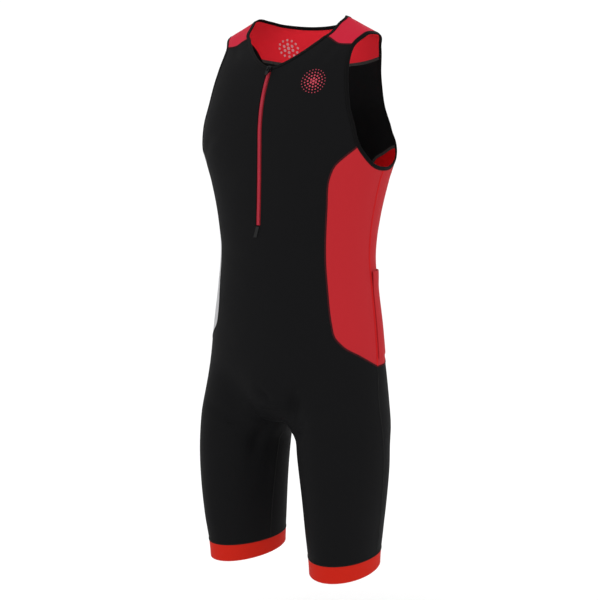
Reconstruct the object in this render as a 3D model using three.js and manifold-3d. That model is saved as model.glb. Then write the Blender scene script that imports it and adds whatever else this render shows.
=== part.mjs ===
// A sleeveless one-piece triathlon suit, hollow, in the form it takes on a wearer.
// Millimetres, +Z up, the front faces -Y and the wearer's left is +X.
// The origin is on the axis of the neck, level with the tops of the shoulders.
import * as THREE from 'three';
import Module from 'manifold-3d';

const wasm = await Module();
wasm.setup();

// ---- driving sizes ----
const CLOTH = 1.5;          // wall of the knitted panels
const SEAM_GAP = 0.3;       // between any two sewn pieces
const BINDING = 6.5;        // width of the elastic binding at the neck and armholes
const BINDING_PROUD = 0.6;  // how far the binding stands off the cloth, each side
const FORK = -686;          // height of the crotch
const SEAT_ARC = 62;        // height over which front and back centre lines turn under
const THIGH_TOP = -560;     // where the thighs start to show in the outline
const GUSSET = 40;          // height in which the inner thighs part below the crotch
const BAND_TOP = -895.5;    // mean height of the seam above the leg band
const BAND_TILT = 8.5;      // the band is this much lower in front, higher behind
const BAND_TALL = 27;
const BAND_FLARE = 3.5;     // the band is this much taller in front, shorter behind
const ZIP_HALF = 4.4;       // half the width of the zip's chain
const ZIP_TOP = -91.5;
const ZIP_END = -349;
const ZIP_PROUD = 0.9;      // how far the chain stands off the skin
const TAPE_HALF = 12;       // half the width of the zip's tape
const TAPE_TOP = -99;       // the tape stops just under the neck binding
// The stay under the zip leans towards the wearer's right.
const STAY = { top: -351, tall: 18, half: 3.4, thick: 0.8, lean: -5 };
const YOKE_BACK = -88;      // height of the back yoke seam at the centre
const POCKET_MOUTH = -425;  // height of the rear pockets' mouths
const POCKET_GAPE = 2.5;    // how far a pocket's mouth stands open
const POCKET_LIFT = 2.3;    // outer face of a pocket above the skin, where it is sewn down
const LEAN = { shift: -6.5, from: -90, to: -25 };  // the shoulders' lean to the wearer's right

// ---- tables of sizes ----
function table(columns, rows) {
  const names = columns.split(' ');
  return rows.map((row) => Object.fromEntries(names.map((name, k) => [name, row[k]])));
}

// Horizontal sections of the body part: half width, depths in front of and behind
// the side line, where the side line lies along Y, and the squareness of the oval.
const TORSO = table('z half front back side square', [
  [4, 62, 6, 20, 0, 2.2],
  [-8, 91, 13, 34, 0, 2.2],
  [-23, 122, 28, 48, 0, 2.2],
  [-39, 153, 42, 56, -1, 2.2],
  [-60, 161, 60, 65, -4, 2.2],
  [-83, 164, 76, 72, -8, 2.25],
  [-110, 166, 87, 80, -12, 2.3],
  [-150, 172, 97, 86, -16, 2.3],
  [-190, 183, 102, 93, -17, 2.3],
  [-230, 184, 103, 97, -17, 2.3],
  [-280, 165, 107, 95, -14, 2.3],
  [-340, 149, 112, 86, -11, 2.25],
  [-400, 142, 117, 77, -9, 2.2],
  [-450, 147, 119, 75, -9, 2.2],
  [-520, 158, 115, 84, -13, 2.2],
  [-590, 167, 108, 93, -18, 2.2],
  [-650, 175, 100, 99, -22, 2.2],
  [-700, 185, 94, 96, -23, 2.2],
]);

// Sections of the left leg: centre, half width, depths, and how far the toes turn out.
const LEG = table('z across half front back side turn', [
  [-560, 85, 79, 91, 95, -22, 0],
  [-640, 92, 81, 93, 90, -24, 0],
  [-690, 102, 77, 91, 83, -25, 3],
  [-715, 104, 76, 90, 78, -26, 5],
  [-745, 106, 74, 90, 76, -26, 6],
  [-800, 107, 68, 89, 74, -25, 8],
  [-860, 106, 62, 83, 72, -25, 10],
  [-910, 105, 57, 76, 70, -24, 10],
  [-950, 105, 56, 73, 70, -23, 10],
]);

// Edges and seams lie on the skin of the left half at an angle s and a height z:
// s is -1 at the front centre line and the inseam, 0 at the side, 1 at the back centre.
const NECK_HALF = table('at s z', [
  [0, -1, -91],
  [1, -0.92, -83],
  [2, -0.82, -66.5],
  [3, -0.735, -50],
  [4, -0.672, -40],
  [5, -0.42, -18],
  [6, 0, -8],
  [7, 0.35, -10.7],
  [8, 0.65, -17],
  [9, 1, -21.5],
]);
const NECK = { front: 0, yoke: 4, ridge: 6, back: 9 };

const ARM_LOOP = table('at s z', [
  [0, 0, -39],
  [1, -0.22, -42],
  [2, -0.375, -59],
  [3, -0.4, -88],
  [4, -0.372, -130],
  [5, -0.348, -180],
  [6, -0.305, -217],
  [7, -0.16, -244],
  [8, 0, -253],
  [9, 0.16, -246],
  [10, 0.33, -218],
  [11, 0.45, -182],
  [12, 0.475, -138],
  [13, 0.478, -104],
  [14, 0.432, -78],
  [15, 0.34, -54],
  [16, 0.18, -42],
  [17, 0, -39],
]);
const ARM = { ridge: 0, yokeFront: 2, sideFront: 6, under: 8, sideBack: 10, yokeBack: 14, end: 17 };

// The neck edge carries on across the centre lines, and the armhole edge meets itself.
const NECK_EDGE = [
  ...NECK_HALF.slice(1, 3).reverse().map(({ at, s, z }) => ({ at: -at, s: -2 - s, z })),
  ...NECK_HALF,
  ...NECK_HALF.slice(-3, -1).reverse().map(({ at, s, z }) => ({ at: 2 * NECK.back - at, s: 2 - s, z })),
];
const ARM_EDGE = [
  ...ARM_LOOP.slice(-3, -1).map((row) => ({ ...row, at: row.at - ARM.end })),
  ...ARM_LOOP,
  ...ARM_LOOP.slice(1, 3).map((row) => ({ ...row, at: row.at + ARM.end })),
];

// Seams of the side panels, below the armhole: front seam of the left one and, as the
// worn suit is pulled a little askew, of the right one; back seam; common lower tip.
const SIDE_FRONT_LEFT = table('s z', [
  [-0.43, -236],
  [-0.495, -252],
  [-0.508, -270],
  [-0.48, -320],
  [-0.45, -390],
  [-0.442, -455],
  [-0.434, -507],
  [-0.42, -526],
  [-0.36, -541],
  [-0.19, -560],
]);
const SIDE_FRONT_RIGHT = table('s z', [
  [-0.37, -236],
  [-0.4, -262],
  [-0.43, -300],
  [-0.47, -360],
  [-0.505, -410],
  [-0.53, -455],
  [-0.555, -500],
  [-0.54, -520],
  [-0.44, -537],
  [-0.21, -559],
]);
const SIDE_BACK = table('s z', [
  [0.46, -224],
  [0.58, -234],
  [0.675, -244],
  [0.71, -262],
  [0.69, -320],
  [0.65, -390],
  [0.63, -455],
  [0.6, -510],
  [0.53, -546],
  [0.38, -567],
  [0.19, -577],
]);
const SIDE_TIP = { s: 0, z: -579 };

// ---- the skin that every piece is cut from ----
function clamp(value, low, high) {
  return Math.min(high, Math.max(low, value));
}

function smooth(from, to, value) {
  const t = clamp((value - from) / (to - from), 0, 1);
  return t * t * (3 - 2 * t);
}

// Smooth reading between the rows of a table whose column "key" rises or falls steadily.
function follow(rows, key, value) {
  const rising = rows[0][key] < rows[rows.length - 1][key] ? rows : [...rows].reverse();
  const last = rising.length - 1;
  const at = clamp(value, rising[0][key], rising[last][key]);
  let i = 0;
  while (i < last - 1 && at >= rising[i + 1][key]) i += 1;
  const gap = (k) => rising[k + 1][key] - rising[k][key];
  const t = (at - rising[i][key]) / gap(i);
  const result = {};
  for (const name of Object.keys(rising[0])) {
    const slope = (k) => (rising[k + 1][name] - rising[k][name]) / gap(k);
    const tangent = (k) => {
      if (k === 0) return slope(0);
      if (k === last) return slope(last - 1);
      return (slope(k - 1) * gap(k) + slope(k) * gap(k - 1)) / (gap(k) + gap(k - 1));
    };
    const rise = gap(i);
    result[name] = (1 + 2 * t) * (1 - t) ** 2 * rising[i][name]
      + t * (1 - t) ** 2 * rise * tangent(i)
      + t * t * (3 - 2 * t) * rising[i + 1][name]
      + t * t * (t - 1) * rise * tangent(i + 1);
  }
  return result;
}

function power(value, exponent) {
  return Math.sign(value) * Math.abs(value) ** exponent;
}

// Point of the left half at angle s and height z: an oval body section that turns
// into a leg section, with the centre lines running under the crotch in an arc.
function skinLeft(s, z) {
  const body = follow(TORSO, 'z', z);
  const angle = s * Math.PI / 2;
  const depth = s < 0 ? body.front : body.back;
  const bodyX = body.half * power(Math.cos(angle), 2 / body.square);
  const bodyY = body.side + depth * power(Math.sin(angle), 2 / body.square);
  const leg = follow(LEG, 'z', z);
  const round = s * Math.PI;
  const turn = THREE.MathUtils.degToRad(leg.turn);
  const across = leg.half * Math.cos(round);
  const along = (s < 0 ? leg.front : leg.back) * Math.sin(round);
  const near = Math.min(Math.abs(s), 1);
  const inner = leg.across - leg.half * Math.cos(turn);
  const joined = clamp((z - (FORK - GUSSET)) / GUSSET, 0, 1) ** 2;
  const legX = leg.across + across * Math.cos(turn) - along * Math.sin(turn)
    - inner * joined * smooth(0.45, 1, near) ** 2;
  const legY = leg.side + across * Math.sin(turn) + along * Math.cos(turn);
  const under = clamp((FORK + SEAT_ARC - z) / SEAT_ARC, 0, 1);
  const arc = 1 - Math.sqrt(1 - under * under);
  const edge = smooth(0.5, 1, near);
  const share = z <= FORK ? 1 : smooth(THIGH_TOP, FORK, z) * (1 - edge) + arc * edge;
  return new THREE.Vector3(
    bodyX + (legX - bodyX) * share,
    bodyY + (legY - bodyY) * share,
    z,
  );
}

// A place is { side, s, z }: side is 1 on the wearer's left and -1 on the right.
function skin({ side, s, z }) {
  const point = skinLeft(s, z);
  point.x *= side;
  if (Math.abs(s) === 1 && z >= FORK) point.x = 0;
  point.x += LEAN.shift * smooth(LEAN.from, LEAN.to, z);
  return point;
}

function slopes(s, z) {
  const alongS = skinLeft(s + 0.003, z).sub(skinLeft(s - 0.003, z)).divideScalar(0.006);
  const alongZ = skinLeft(s, z + 0.3).sub(skinLeft(s, z - 0.3)).divideScalar(0.6);
  return [alongS, alongZ];
}

function outward({ side, s, z }) {
  const centred = Math.abs(s) === 1 && z >= FORK;
  if (centred && z < FORK + 1) return new THREE.Vector3(0, 0, -1);
  const [alongS, alongZ] = slopes(s, z);
  const normal = alongS.cross(alongZ);
  normal.x = centred ? 0 : normal.x * side;
  return normal.normalize();
}

// Angle at which the skin is a given distance from the front centre line.
function angleAt(x, z) {
  const body = follow(TORSO, 'z', z);
  return -Math.acos((x / body.half) ** (body.square / 2)) * 2 / Math.PI;
}

// ---- edges and seams, as lists of { s, z } ----
function spread(from, to, count) {
  return Array.from({ length: count + 1 }, (_, k) => from + (to - from) * k / count);
}

// The cloth stops one binding's width inside a bound edge.
function tucked(edge, at) {
  const { s, z } = follow(edge, 'at', at);
  const before = follow(edge, 'at', at - 0.02);
  const after = follow(edge, 'at', at + 0.02);
  const run = skinLeft(after.s, after.z).sub(skinLeft(before.s, before.z));
  const centred = Math.abs(s) === 1;
  if (centred) run.set(1, 0, 0);
  const into = outward({ side: 1, s, z }).cross(run).normalize();
  if (edge === NECK_EDGE && into.z > 0) into.negate();
  if (edge === ARM_EDGE && into.dot(ARM_CENTRE.clone().sub(skinLeft(s, z))) > 0) into.negate();
  const [alongS, alongZ] = slopes(s, z);
  const a = alongS.dot(alongS);
  const b = alongS.dot(alongZ);
  const c = alongZ.dot(alongZ);
  const p = into.dot(alongS) * BINDING;
  const q = into.dot(alongZ) * BINDING;
  const det = a * c - b * b;
  return { s: centred ? s : s + (p * c - q * b) / det, z: z + (q * a - p * b) / det };
}
const ARM_CENTRE = new THREE.Vector3(160, -5, -146);

// A smooth line through places on the skin, in equal steps.
function seam(places, count) {
  const sideways = 230;
  let at = 0;
  const rows = places.map((place, k) => {
    if (k > 0) at += Math.hypot((place.s - places[k - 1].s) * sideways, place.z - places[k - 1].z);
    return { at, s: place.s, z: place.z };
  });
  return spread(0, at, count).map((distance) => {
    const { s, z } = follow(rows, 'at', distance);
    return { s, z };
  });
}

const neckFront = spread(NECK.front, NECK.yoke, 8).map((at) => tucked(NECK_EDGE, at));
const neckTop = spread(NECK.yoke, NECK.ridge, 4).map((at) => tucked(NECK_EDGE, at));
const neckBack = spread(NECK.ridge, NECK.back, 14).map((at) => tucked(NECK_EDGE, at));
const armTop = spread(ARM.ridge, ARM.yokeFront, 4).map((at) => tucked(ARM_EDGE, at));
const armFront = spread(ARM.yokeFront, ARM.sideFront, 8).map((at) => tucked(ARM_EDGE, at));
const armUnderFront = spread(ARM.sideFront, ARM.under, 4).map((at) => tucked(ARM_EDGE, at));
const armUnderBack = spread(ARM.under, ARM.sideBack, 4).map((at) => tucked(ARM_EDGE, at));
const armBack = spread(ARM.sideBack, ARM.yokeBack, 8).map((at) => tucked(ARM_EDGE, at));
const armShoulder = spread(ARM.yokeBack, ARM.end, 6).map((at) => tucked(ARM_EDGE, at));

const last = (list) => list[list.length - 1];
const yokeFrontSeam = seam([neckTop[0], { s: -0.545, z: -54.5 }, last(armTop)], 4);
const yokeBackSeam = seam([last(armBack), { s: 0.72, z: -84 }, { s: 1, z: YOKE_BACK }], 8);
const sideFrontSeam = (side) => {
  const places = side > 0 ? SIDE_FRONT_LEFT : SIDE_FRONT_RIGHT;
  return seam([armUnderFront[0], ...places, SIDE_TIP], 14);
};
const sideBackSeam = seam([last(armUnderBack), ...SIDE_BACK, SIDE_TIP], 14);
const sideSeam = seam([last(armUnderFront), { s: 0, z: -420 }, SIDE_TIP], 14);

const bandTop = (s) => BAND_TOP + BAND_TILT * Math.sin(s * Math.PI);
const bandTall = (s) => BAND_TALL - BAND_FLARE * Math.sin(s * Math.PI);
const levels = (from, to, count) => spread(from, to, count).slice(1);
// Equal steps round the arc that the centre line makes under the crotch.
const arcLevels = (count) => spread(0, Math.PI / 2, count).slice(1)
  .map((turn) => FORK + SEAT_ARC * (1 - Math.sin(turn)));
const legLevels = (s) => [
  ...levels(SIDE_TIP.z, FORK + SEAT_ARC, 2),
  ...arcLevels(6),
  ...levels(FORK, bandTop(s), 8),
];
const outseam = legLevels(0).map((z) => ({ s: 0, z }));

// ---- sheets of cloth ----
class Sheet {
  constructor() {
    this.points = [];
    this.normals = [];
    this.faces = [];
    this.known = new Map();
  }

  vertex(place) {
    const point = skin(place);
    const key = point.toArray().map((value) => Math.round(value * 1000) + 0).join();
    if (!this.known.has(key)) {
      this.known.set(key, this.points.length);
      this.points.push(point);
      this.normals.push(outward(place));
    }
    return this.known.get(key);
  }

  // Adds a net of places, given as rows, with its faces turned outward.
  net(rows) {
    const ids = rows.map((row) => row.map((place) => this.vertex(place)));
    const faces = [];
    for (let i = 0; i + 1 < ids.length; i += 1) {
      for (let j = 0; j + 1 < ids[i].length; j += 1) {
        faces.push([ids[i][j], ids[i][j + 1], ids[i + 1][j + 1]]);
        faces.push([ids[i][j], ids[i + 1][j + 1], ids[i + 1][j]]);
      }
    }
    const facing = faces.reduce((total, [a, b, c]) => {
      const [p, q, r] = [a, b, c].map((k) => this.points[k]);
      return total + q.clone().sub(p).cross(r.clone().sub(p)).dot(this.normals[a]);
    }, 0);
    for (const [a, b, c] of faces) {
      if (a === b || b === c || c === a) continue;
      this.faces.push(facing < 0 ? [a, c, b] : [a, b, c]);
    }
    return this;
  }

  // Gives the sheet its wall: "proud" is how far the outer face stands off the skin,
  // and each open edge is drawn in by half the seam gap.
  solid(thick = CLOTH, proud = () => 0) {
    const edges = new Map();
    for (const face of this.faces) {
      face.forEach((a, k) => edges.set(`${a},${face[(k + 1) % 3]}`, [a, face[(k + 1) % 3]]));
    }
    const rim = [...edges.values()].filter(([a, b]) => !edges.has(`${b},${a}`));
    const inward = this.points.map(() => []);
    for (const [a, b] of rim) {
      const run = this.points[b].clone().sub(this.points[a]).normalize();
      inward[a].push(this.normals[a].clone().cross(run).normalize());
      inward[b].push(this.normals[b].clone().cross(run).normalize());
    }
    const outer = this.points.map((point, k) => {
      const moved = point.clone().addScaledVector(this.normals[k], proud(point));
      if (inward[k].length === 0) return moved;
      const sum = inward[k].reduce((total, part) => total.add(part), new THREE.Vector3());
      const open = Math.max(0.25, sum.dot(inward[k][0]));
      return moved.addScaledVector(sum, SEAM_GAP / 2 / open);
    });
    const inner = outer.map((point, k) => point.clone().addScaledVector(this.normals[k], -thick));
    const count = outer.length;
    const triangles = this.faces.flat();
    for (const [a, b, c] of this.faces) triangles.push(a + count, c + count, b + count);
    for (const [a, b] of rim) triangles.push(b, a, a + count, b, a + count, b + count);
    const geometry = new THREE.BufferGeometry();
    const values = [...outer, ...inner].flatMap((point) => point.toArray());
    geometry.setAttribute('position', new THREE.Float32BufferAttribute(values, 3));
    geometry.setIndex(triangles);
    return geometry;
  }
}

// A net between four boundary lines: "from" and "to" run down its sides, "top" and
// "bottom" across, and the shape of top and bottom dies away towards the middle.
function between(side, from, to, top, bottom, columns) {
  const rows = from.length - 1;
  return from.map((start, i) => {
    const v = i / rows;
    return spread(0, 1, columns).map((u, j) => {
      const place = { side };
      for (const key of ['s', 'z']) {
        const across = (k) => from[k][key] + (to[k][key] - from[k][key]) * u;
        place[key] = across(i)
          + (top ? (1 - v) ** 3 * (top[j][key] - across(0)) : 0)
          + (bottom ? v ** 3 * (bottom[j][key] - across(rows)) : 0);
      }
      return place;
    });
  });
}

const bothSides = [1, -1];
const strip = (side, one, other) => one.map((place, k) => [{ side, ...place }, { side, ...other[k] }]);

// ---- panels ----
function frontPanel() {
  const slit = ZIP_HALF + SEAM_GAP / 2;
  const zipped = [neckFront[0].z, ...levels(neckFront[0].z, -222, 12), ...levels(-222, ZIP_END, 4)];
  const centre = [
    ...zipped.map((z) => ({ s: angleAt(slit, z), z })),
    ...[ZIP_END - SEAM_GAP, ...levels(ZIP_END - SEAM_GAP, -585, 9)].map((z) => ({ s: -1, z })),
    ...levels(-585, FORK + SEAT_ARC, 2).map((z) => ({ s: -1, z })),
    ...arcLevels(6).map((z) => ({ s: -1, z })),
    ...levels(FORK, bandTop(-1), 8).map((z) => ({ s: -1, z })),
  ];
  const outer = (side) => [
    ...yokeFrontSeam,
    ...armFront.slice(1),
    ...sideFrontSeam(side).slice(1),
    ...outseam,
  ];
  const top = neckFront.map((place, k) => (k === 0 ? centre[0] : place));
  const bottom = spread(-1, 0, 8).map((s) => ({ s, z: bandTop(s) }));
  const sheet = new Sheet();
  for (const side of bothSides) sheet.net(between(side, centre, outer(side), top, bottom, 8));
  return sheet.solid();
}

function backPanel() {
  const centre = [
    YOKE_BACK,
    ...levels(YOKE_BACK, -222, 8),
    ...levels(-222, -530, 10),
    ...levels(-530, FORK + SEAT_ARC, 4),
    ...arcLevels(8),
    ...levels(FORK, bandTop(1), 8),
  ].map((z) => ({ s: 1, z }));
  const outer = [...[...armBack].reverse(), ...sideBackSeam.slice(1), ...outseam];
  const top = [...yokeBackSeam].reverse();
  const bottom = spread(1, 0, 8).map((s) => ({ s, z: bandTop(s) }));
  const sheet = new Sheet();
  for (const side of bothSides) sheet.net(between(side, centre, outer, top, bottom, 8));
  return sheet.solid();
}

function sidePanel(side, seamLine, top) {
  return new Sheet().net(between(side, sideSeam, seamLine, top, null, 4)).solid();
}

function yoke() {
  const inner = [...neckTop, ...neckBack.slice(1)];
  const overShoulder = [...[...armTop].reverse(), ...[...armShoulder].reverse().slice(1)];
  const outer = [...overShoulder, ...yokeBackSeam.slice(1)];
  const sheet = new Sheet();
  for (const side of bothSides) sheet.net(between(side, inner, outer, yokeFrontSeam, null, 4));
  return sheet.solid();
}

// A rear pocket lies on the side back panel, sewn down all round but for its mouth.
function pocket(side) {
  const inset = 0.035;
  const deep = sideBackSeam.filter(({ s, z }) => z < POCKET_MOUTH && s > 0.3);
  const outer = seam([{ s: 0.44, z: POCKET_MOUTH }, ...deep], 6)
    .map(({ s, z }) => ({ s: s - inset, z: Math.max(z, SIDE_TIP.z + 22) }));
  const inner = spread(POCKET_MOUTH, SIDE_TIP.z + 12, 6).map((z) => ({ s: 0.02, z }));
  const gape = (point) => {
    const down = clamp((POCKET_MOUTH - point.z) / 45, 0, 1);
    return POCKET_LIFT + POCKET_GAPE * (1 - smooth(0, 1, down));
  };
  return new Sheet().net(between(side, inner, outer, null, null, 5)).solid(CLOTH, gape);
}

function legBand(side) {
  const ring = spread(-1, 1, 16);
  const rows = [0, 0.5, 1]
    .map((drop) => ring.map((s) => ({ side, s, z: bandTop(s) - drop * bandTall(s) })));
  return new Sheet().net(rows).solid();
}

// ---- bindings ----
const bindingWall = CLOTH + 2 * BINDING_PROUD;

function neckBinding() {
  const stops = [
    ...spread(NECK.front, NECK.yoke, 8),
    ...spread(NECK.yoke, NECK.ridge, 4).slice(1),
    ...spread(NECK.ridge, NECK.back, 14).slice(1),
  ];
  const slit = ZIP_HALF + SEAM_GAP / 2;
  const trim = (place, at) => (at === 0 ? { s: angleAt(slit, place.z), z: place.z } : place);
  const edge = stops.map((at) => {
    const { s, z } = follow(NECK_EDGE, 'at', at);
    return trim({ s, z }, at);
  });
  const cloth = stops.map((at) => trim(tucked(NECK_EDGE, at), at));
  const sheet = new Sheet();
  for (const side of bothSides) sheet.net(strip(side, edge, cloth));
  return sheet.solid(bindingWall, () => BINDING_PROUD);
}

function armBinding(side) {
  const cloth = [armTop, armFront, armUnderFront, armUnderBack, armBack, armShoulder]
    .flatMap((part, k) => (k === 0 ? part : part.slice(1)));
  const stops = [
    ...spread(ARM.ridge, ARM.yokeFront, 4),
    ...spread(ARM.yokeFront, ARM.sideFront, 8).slice(1),
    ...spread(ARM.sideFront, ARM.under, 4).slice(1),
    ...spread(ARM.under, ARM.sideBack, 4).slice(1),
    ...spread(ARM.sideBack, ARM.yokeBack, 8).slice(1),
    ...spread(ARM.yokeBack, ARM.end, 6).slice(1),
  ];
  const edge = stops.map((at) => {
    const { s, z } = follow(ARM_EDGE, 'at', at);
    return { s, z };
  });
  return new Sheet().net(strip(side, edge, cloth)).solid(bindingWall, () => BINDING_PROUD);
}

// ---- zip ----
// A flat ribbon down the front centre line.
function ribbon(half, top, bottom, thick, proud, steps) {
  const rows = spread(top, bottom, steps).map((z) => [
    { side: 1, s: angleAt(half, z), z },
    { side: 1, s: -1, z },
    { side: -1, s: angleAt(half, z), z },
  ]);
  return new Sheet().net(rows).solid(thick, () => proud);
}

// A small stay sewn flat under the zip's lower end, leaning to the wearer's right.
function zipStay() {
  const rows = spread(0, 1, 3).map((down) => {
    const z = STAY.top - STAY.tall * down;
    const middle = STAY.lean * down;
    return [-STAY.half, 0, STAY.half].map((x) => {
      const across = middle + x;
      return { side: across < 0 ? -1 : 1, s: angleAt(Math.abs(across), z), z };
    });
  });
  return new Sheet().net(rows).solid(STAY.thick, () => STAY.thick + 2 * SEAM_GAP);
}

function solidOf(geometry) {
  const position = geometry.getAttribute('position');
  const index = geometry.index
    ? [...geometry.index.array]
    : Array.from({ length: position.count }, (_, k) => k);
  const known = new Map();
  const vertices = [];
  const triangles = index.map((k) => {
    const point = [position.getX(k), position.getY(k), position.getZ(k)];
    const key = point.map((value) => Math.round(value * 1e4) + 0).join();
    if (!known.has(key)) {
      known.set(key, vertices.length / 3);
      vertices.push(...point);
    }
    return known.get(key);
  });
  return new wasm.Manifold(new wasm.Mesh({
    numProp: 3,
    vertProperties: new Float32Array(vertices),
    triVerts: new Uint32Array(triangles),
  }));
}

function geometryOf(solid) {
  const mesh = solid.getMesh();
  const geometry = new THREE.BufferGeometry();
  geometry.setAttribute('position', new THREE.BufferAttribute(mesh.vertProperties, 3));
  geometry.setIndex(new THREE.BufferAttribute(mesh.triVerts, 1));
  return geometry;
}

function roundedPlate(width, height, radius, thick) {
  const x = width / 2;
  const y = height / 2;
  const shape = new THREE.Shape();
  shape.moveTo(-x + radius, -y);
  shape.lineTo(x - radius, -y);
  shape.absarc(x - radius, -y + radius, radius, -Math.PI / 2, 0, false);
  shape.lineTo(x, y - radius);
  shape.absarc(x - radius, y - radius, radius, 0, Math.PI / 2, false);
  shape.lineTo(-x + radius, y);
  shape.absarc(-x + radius, y - radius, radius, Math.PI / 2, Math.PI, false);
  shape.lineTo(-x, -y + radius);
  shape.absarc(-x + radius, -y + radius, radius, Math.PI, Math.PI * 1.5, false);
  return { shape, settings: { depth: thick, bevelEnabled: false, curveSegments: 3 } };
}

// Slider and pull are drawn flat, with X across, Y up the chain and Z off the chain.
const SLIDER = { wide: 8, tall: 11, thick: 2.2, lift: ZIP_PROUD + SEAM_GAP };
const BRIDGE = { wide: 2, reach: 2.6, wall: 0.9, tall: 3.4 };
const PIVOT_LIFT = 4.6;
const PULL = { wide: 6, thick: 1.2, bar: 0.6, window: 4.2, windowWide: 3.2, tall: 12.5 };

function sliderGeometry() {
  const plate = roundedPlate(SLIDER.wide, SLIDER.tall, 2, SLIDER.thick);
  const body = new THREE.ExtrudeGeometry(plate.shape, plate.settings);
  body.translate(0, 0, SLIDER.lift);
  const base = SLIDER.lift + SLIDER.thick - 0.3;
  const arch = new THREE.Shape();
  arch.moveTo(-BRIDGE.reach, base);
  arch.lineTo(-BRIDGE.reach + BRIDGE.wall, base);
  arch.lineTo(-BRIDGE.reach + BRIDGE.wall, base + BRIDGE.tall - BRIDGE.wall);
  arch.lineTo(BRIDGE.reach - BRIDGE.wall, base + BRIDGE.tall - BRIDGE.wall);
  arch.lineTo(BRIDGE.reach - BRIDGE.wall, base);
  arch.lineTo(BRIDGE.reach, base);
  arch.lineTo(BRIDGE.reach, base + BRIDGE.tall);
  arch.lineTo(-BRIDGE.reach, base + BRIDGE.tall);
  arch.closePath();
  const bridge = new THREE.ExtrudeGeometry(arch, { depth: BRIDGE.wide, bevelEnabled: false });
  bridge.translate(0, 0, -BRIDGE.wide / 2);
  // The outline's x runs up the chain and its y off the chain.
  const turned = new THREE.Matrix4().makeBasis(
    new THREE.Vector3(0, 1, 0),
    new THREE.Vector3(0, 0, 1),
    new THREE.Vector3(1, 0, 0),
  );
  bridge.applyMatrix4(turned);
  return geometryOf(solidOf(body).add(solidOf(bridge)));
}

function pullGeometry() {
  const plate = roundedPlate(PULL.wide, PULL.tall, 1.2, PULL.thick);
  const top = PULL.tall / 2 - 2 * PULL.bar;
  const window = new THREE.Path();
  window.moveTo(-PULL.windowWide / 2, top);
  window.lineTo(-PULL.windowWide / 2, top - PULL.window);
  window.lineTo(PULL.windowWide / 2, top - PULL.window);
  window.lineTo(PULL.windowWide / 2, top);
  window.closePath();
  plate.shape.holes.push(window);
  const geometry = new THREE.ExtrudeGeometry(plate.shape, plate.settings);
  geometry.translate(0, PULL.bar - PULL.tall / 2, -PULL.thick / 2);
  return geometry;
}

// A group whose Z is off the skin and whose Y runs up the front centre line at height z.
function onFront(z, lift) {
  const place = { side: 1, s: -1, z };
  const off = outward(place);
  const across = new THREE.Vector3(1, 0, 0);
  const up = off.clone().cross(across);
  const group = new THREE.Group();
  group.setRotationFromMatrix(new THREE.Matrix4().makeBasis(across, up, off));
  group.position.copy(skin(place).addScaledVector(off, lift));
  return group;
}

// ---- the suit ----
const BLACK = { color: '#1b1b1c', roughness: 0.75, metalness: 0 };
const RED = { color: '#b52c32', roughness: 0.7, metalness: 0 };
const CORAL = { color: '#c52e41', roughness: 0.7, metalness: 0 };
const GREY = { color: '#9a9a9c', roughness: 0.7, metalness: 0 };
const ORANGE_RED = { color: '#c12c1a', roughness: 0.6, metalness: 0 };
const METAL = { color: '#202022', roughness: 0.4, metalness: 0.6 };

const suit = new THREE.Group();
function add(name, geometry, look, parent = suit) {
  const mesh = new THREE.Mesh(geometry, new THREE.MeshStandardMaterial(look));
  mesh.name = name;
  parent.add(mesh);
}

add('front_panel', frontPanel(), BLACK);
add('back_panel', backPanel(), BLACK);
add('yoke', yoke(), CORAL);
for (const [side, word, look] of [[1, 'left', RED], [-1, 'right', GREY]]) {
  add(`side_front_${word}`, sidePanel(side, sideFrontSeam(side), [...armUnderFront].reverse()), look);
  add(`side_back_${word}`, sidePanel(side, sideBackSeam, armUnderBack), look);
  add(`pocket_${word}`, pocket(side), look);
  add(`armhole_binding_${word}`, armBinding(side), BLACK);
  add(`leg_band_${word}`, legBand(side), ORANGE_RED);
}
add('neck_binding', neckBinding(), BLACK);
add('zip_tape', ribbon(TAPE_HALF, TAPE_TOP, ZIP_END - 8, 1, -(CLOTH + SEAM_GAP), 12), RED);
add('zip_chain', ribbon(ZIP_HALF, ZIP_TOP, ZIP_END, ZIP_PROUD + CLOTH, ZIP_PROUD, 24), CORAL);
add('zip_stay', zipStay(), BLACK);

const sliderSeat = onFront(-96.5, 0);
add('zip_slider', sliderGeometry(), METAL, sliderSeat);
suit.add(sliderSeat);
const pullSeat = onFront(-96.5, PIVOT_LIFT);
add('zip_pull', pullGeometry(), METAL, pullSeat);
suit.add(pullSeat);

export default suit;
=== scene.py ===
import math

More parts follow.
